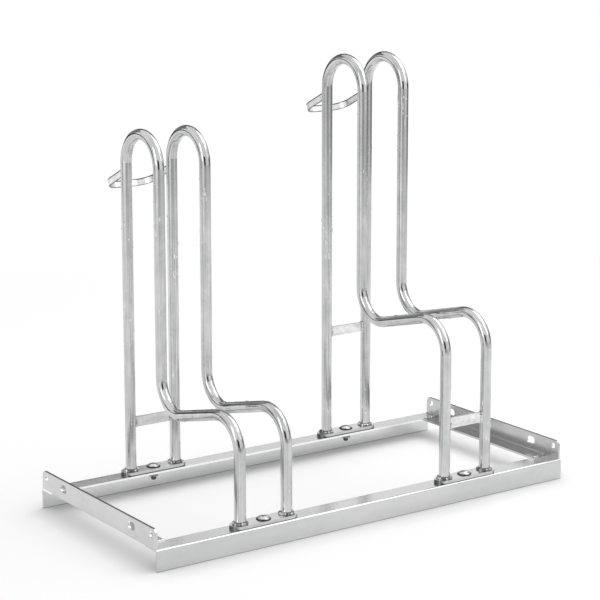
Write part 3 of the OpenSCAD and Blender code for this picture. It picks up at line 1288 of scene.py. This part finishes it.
@dataclass
class Studio:
    """White floor and room, cloths and soft boxes."""

    floor_size: float = 40.0
    floor_colour: str = "#F0F0F0"
    floor_lift: float = 0.26
    floor_gloss: float = 0.22
    # Painted shadow: the floor's glow fades with ambient occlusion near the rack, by this power and reach
    painted_shadow_power: float = 1.9
    painted_shadow_reach: float = 0.045
    cloth_step: float = 6.0
    lit_floor: float = 0.9
    white_floor: float = 2.0
    room_strength: float = 0.72
    screens: tuple[Screen, ...] = (
        Screen("floor_screen", 2.2, 0.01, 0.14, (
            (-150, -120, 0.82), (-120, -98, 1.2), (-98, -75, 0.82), (-75, -60, 1.0), (-60, -25, 1.25),
            (-25, -12, 0.9), (-12, 25, 0.66), (25, 60, 0.8), (60, 150, 0.88))),
        Screen("low_screen", 2.2, 0.14, 0.45, (
            (-170, -120, 0.6), (-120, -98, 1.1), (-98, -70, 0.5), (-70, -58, 0.75), (-58, -22, 1.08),
            (-22, -12, 0.7), (-12, 22, 0.42), (22, 40, 0.6), (40, 80, 0.78), (80, 98, 0.5),
            (98, 150, 0.28))),
        Screen("camera_screen", 2.2, 0.45, 1.25, ((-15, 18, 0.03),)),
        Screen("side_screen", 2.2, 0.45, 0.8, ((-170, -80, 0.1), (90, 150, 0.12))),
        Screen("back_screen", 6.0, 0.1, 1.1, ((150, 262, 0.04),)),
        Screen("middle_back_screen", 6.0, 1.1, 3.3, ((150, 200, 0.75), (200, 242, 0.3))),
        Screen("crown_screen", 2.0, 1.95, 2.5, ((165, 205, 0.45),)),
        Screen("upper_back_screen", 2.0, 1.1, 1.95, ((158, 212, 0.05), (212, 246, 0.25))),
    )
    boxes: tuple[SoftBox, ...] = (
        SoftBox("left_strip", -42, 2.1, 1.3, 0.6, (0.6, 1.5), 1.8, False),
        SoftBox("right_strip", 70, 1.8, 1.7, 0.4, (0.6, 1.3), 2.0, False),
        SoftBox("overhead_box", 120, 1.3, 2.2, 0.3, (1.8, 1.8), 1.45, True),
    )

    def heading(self, degrees_right: float) -> Vector:
        """Level direction from the rack, turned to the right from the camera's side."""
        angle = CAMERA_AZIMUTH - math.radians(degrees_right)
        return Vector((-math.sin(angle), -math.cos(angle), 0))

    def seen(self, nodes: Nodes) -> Socket:
        """Finds rays from the camera, off metal and through glass.

        Args:
            nodes: Nodes of the floor or of the room.

        Returns:
            Socket that is 1 for them.
        """
        path = nodes.add("LightPath")
        direct = nodes.add("Math", {0: path["Is Camera Ray"], 1: path["Is Glossy Ray"]}, operation="MAXIMUM")
        return nodes.add("Math", {0: direct[0], 1: path["Is Transmission Ray"]}, operation="MAXIMUM")[0]

    def floor(self) -> None:
        """Lays the floor: matt white that keeps the shadow near the rack, with a glow that fades there as a
        painted shadow, and plain white further out.
        """
        material = bpy.data.materials.new("MattWhiteFloor")
        nodes = Nodes(material)
        matt = nodes.add("BsdfDiffuse", {"Color": linear_colour(self.floor_colour)})
        seen = self.seen(nodes)
        # Painted shadow: ambient occlusion weakens the glow where the rack is close
        open_floor = nodes.add("AmbientOcclusion", {"Distance": self.painted_shadow_reach}, samples=CORNER_SAMPLES)
        painted_shadow = nodes.add("Math", {0: open_floor["AO"], 1: self.painted_shadow_power}, operation="POWER")
        lift = nodes.add("Math", {0: painted_shadow[0], 1: self.floor_lift}, operation="MULTIPLY")
        on_metal = nodes.add("Math", {
            0: nodes.add("LightPath")["Is Glossy Ray"], 1: self.floor_gloss}, operation="MULTIPLY")
        either = nodes.add("Math", {0: lift[0], 1: on_metal[0]}, operation="MAXIMUM")
        seen_lift = nodes.add("Math", {0: either[0], 1: seen}, operation="MULTIPLY")
        glow = nodes.add("Emission", {"Color": WHITE, "Strength": seen_lift[0]})
        near = nodes.add("AddShader", {0: matt[0], 1: glow[0]})
        white = nodes.add("Emission", {"Color": WHITE, "Strength": 1.0})
        reach = nodes.add("VectorMath", {0: nodes.add("TexCoord")["Object"]}, operation="LENGTH")
        far = nodes.add("MapRange", {
            "Value": reach["Value"], "From Min": self.lit_floor, "From Max": self.white_floor},
            interpolation_type="SMOOTHSTEP")
        share = nodes.add("Math", {0: far[0], 1: seen}, operation="MULTIPLY")
        shader = nodes.add("MixShader", {0: share[0], 1: near[0], 2: white[0]})
        nodes.add("OutputMaterial", {"Surface": shader[0]})
        half = self.floor_size / 2
        corners = [(-half, -half, 0), (half, -half, 0), (half, half, 0), (-half, half, 0)]
        floor = add_object("studio_floor", corners, [(0, 1, 2, 3)], material)

    def room(self) -> None:
        """Sets the world: white where it is seen, and a plain soft light."""
        bpy.context.scene.world = bpy.data.worlds.new("studio_room")
        nodes = Nodes(bpy.context.scene.world)
        mixed = {0: self.seen(nodes), 2: self.room_strength, 3: 1.0}
        strength = nodes.add("Mix", mixed, data_type="FLOAT")
        background = nodes.add("Background", {"Color": WHITE, "Strength": strength[0]})
        nodes.add("OutputWorld", {"Surface": background[0]})

    def hang(self, screen: Screen) -> None:
        """Hangs the cloths of one screen, seen by the metal only.

        Args:
            screen: The screen.
        """
        for number, (first, last, brightness) in enumerate(screen.cloths):
            name = f"{screen.name}_{number}"
            steps = max(2, round((last - first) / self.cloth_step))
            turns = [first + (last - first) * i / steps for i in range(steps + 1)]
            feet = [self.heading(turn) * screen.distance for turn in turns]
            points = [foot + Vector((0, 0, z)) for z in (screen.bottom, screen.top) for foot in feet]
            faces = [(i, i + 1, i + steps + 2, i + steps + 1) for i in range(steps)]
            material = bpy.data.materials.new("LitStudioCloth_" + name)
            nodes = Nodes(material)
            glow = nodes.add("Emission", {"Color": WHITE, "Strength": brightness})
            nodes.add("OutputMaterial", {"Surface": glow[0]})
            cloth = add_object(name, points, faces, material)
            cloth.visible_camera = False
            cloth.visible_diffuse = False
            cloth.visible_shadow = False

    def light(self, box: SoftBox) -> None:
        """Sets one soft box, unseen by the camera.

        Args:
            box: The soft box.
        """
        light = bpy.data.lights.new(box.name, "AREA")
        light.shape = "RECTANGLE"
        light.size, light.size_y = box.size
        light.energy = box.radiance * math.pi * box.size[0] * box.size[1]
        lamp = bpy.data.objects.new(box.name, light)
        lamp.visible_camera = False
        lamp.visible_diffuse = box.on_floor
        place = self.heading(box.heading) * box.distance + Vector((0, 0, box.height))
        aim = Vector((0, 0, box.aim_height)) - place
        lamp.matrix_world = Matrix.Translation(place) @ aim.to_track_quat("-Z", "Y").to_matrix().to_4x4()
        bpy.context.scene.collection.objects.link(lamp)

    def build(self) -> None:
        """Builds the studio."""
        self.floor()
        self.room()
        for screen in self.screens:
            self.hang(screen)
        for box in self.boxes:
            self.light(box)


@dataclass(frozen=True)
class PhotoCamera:
    """The camera at the photograph's viewing angle, fitted to the rails, end plates, feet and arches.

    Its place is given from the front left corner of the rails, on the floor.
    """

    from_corner: tuple[float, float, float] = (-1.181616, -2.014546, 0.863230)
    pitch: float = math.radians(10.391)
    focal_pixels: float = 1896.855
    frame_pixels: float = 600.0
    sensor: float = 36.0
    shift: float = -0.1
    nearest: float = 0.05
    farthest: float = 100.0

    def build(self) -> None:
        """Sets the camera as the scene's own."""
        data = bpy.data.cameras.new("photo_camera")
        data.sensor_width = self.sensor
        data.lens = self.focal_pixels / self.frame_pixels * self.sensor
        data.shift_y = self.shift
        data.clip_start, data.clip_end = self.nearest, self.farthest
        camera = bpy.data.objects.new("photo_camera", data)
        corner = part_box("front_rail")[0]
        camera.location = Vector((corner.x, corner.y, 0)) + Vector(self.from_corner)
        camera.rotation_euler = (math.pi / 2 - self.pitch, 0, -CAMERA_AZIMUTH)
        bpy.context.scene.collection.objects.link(camera)
        bpy.context.scene.camera = camera


def rack_finishes() -> dict[str, Material]:
    """Builds the finishes of the CAD nodes.

    Returns:
        Each finish, by the end of the names of the nodes that wear it. The first that fits a name counts.
    """
    nut = NutSteel().material()
    finishes = {
        "front_rail": SectionZinc().material(),
        "rear_rail": RearRailZinc().material(),
        "foot_plate": FootPlateZinc(bottom=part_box("low_front_foot_plate")[0].z).material(),
        "nut": nut,
        "bolt": nut,
    }
    # Painted light and shade: the left end angle gets lighter colours and the right one darker, for the light
    # each takes
    for side, bright, dull in ((Side.LEFT, "#DADADA", "#CECECE"), (Side.RIGHT, "#CCCCCC", "#BEBEBE")):
        node = f"{side.word}_end_angle"
        finishes[node] = UpstandZinc(name=f"HotDipGalvanisedEndAngle_{side.word}", bright=bright, dull=dull,
                                     top=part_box(node)[1].z).material()
    for line in map(HoopLine, Tier):
        tier = line.tier.value
        finishes[f"{tier}_top_strap"] = TopStrapZinc(
            name=f"HotDipGalvanisedBentStrip_{tier}", line=line).material()
        tube = TubeZinc(name=f"HotDipGalvanisedTube_{tier}", line=line).material()
        finishes |= {line.hoop(side): tube for side in Side}
    return finishes | {"strap": CrossStrapZinc().material()}


def main() -> None:
    """Builds the camera, the studio, the rack's finishes and its small pieces."""
    logging.basicConfig(level=logging.INFO, format="%(name)s: %(message)s")
    bpy.context.scene.view_settings.view_transform = "Standard"
    PhotoCamera().build()
    Studio().build()
    Dressing(rack_finishes()).dress()
    Welds(WeldMetal().material()).build()
    bolt = CarriageBolt(PlatedFastener().material())
    for tier in Tier:
        for row in Row:
            bolt.build(tier, row)
    lumps = ZincLumps(LumpZinc().material())
    for line in map(HoopLine, Tier):
        for side in Side:
            lumps.build(line, side)


if __name__ == "__main__":
    main()
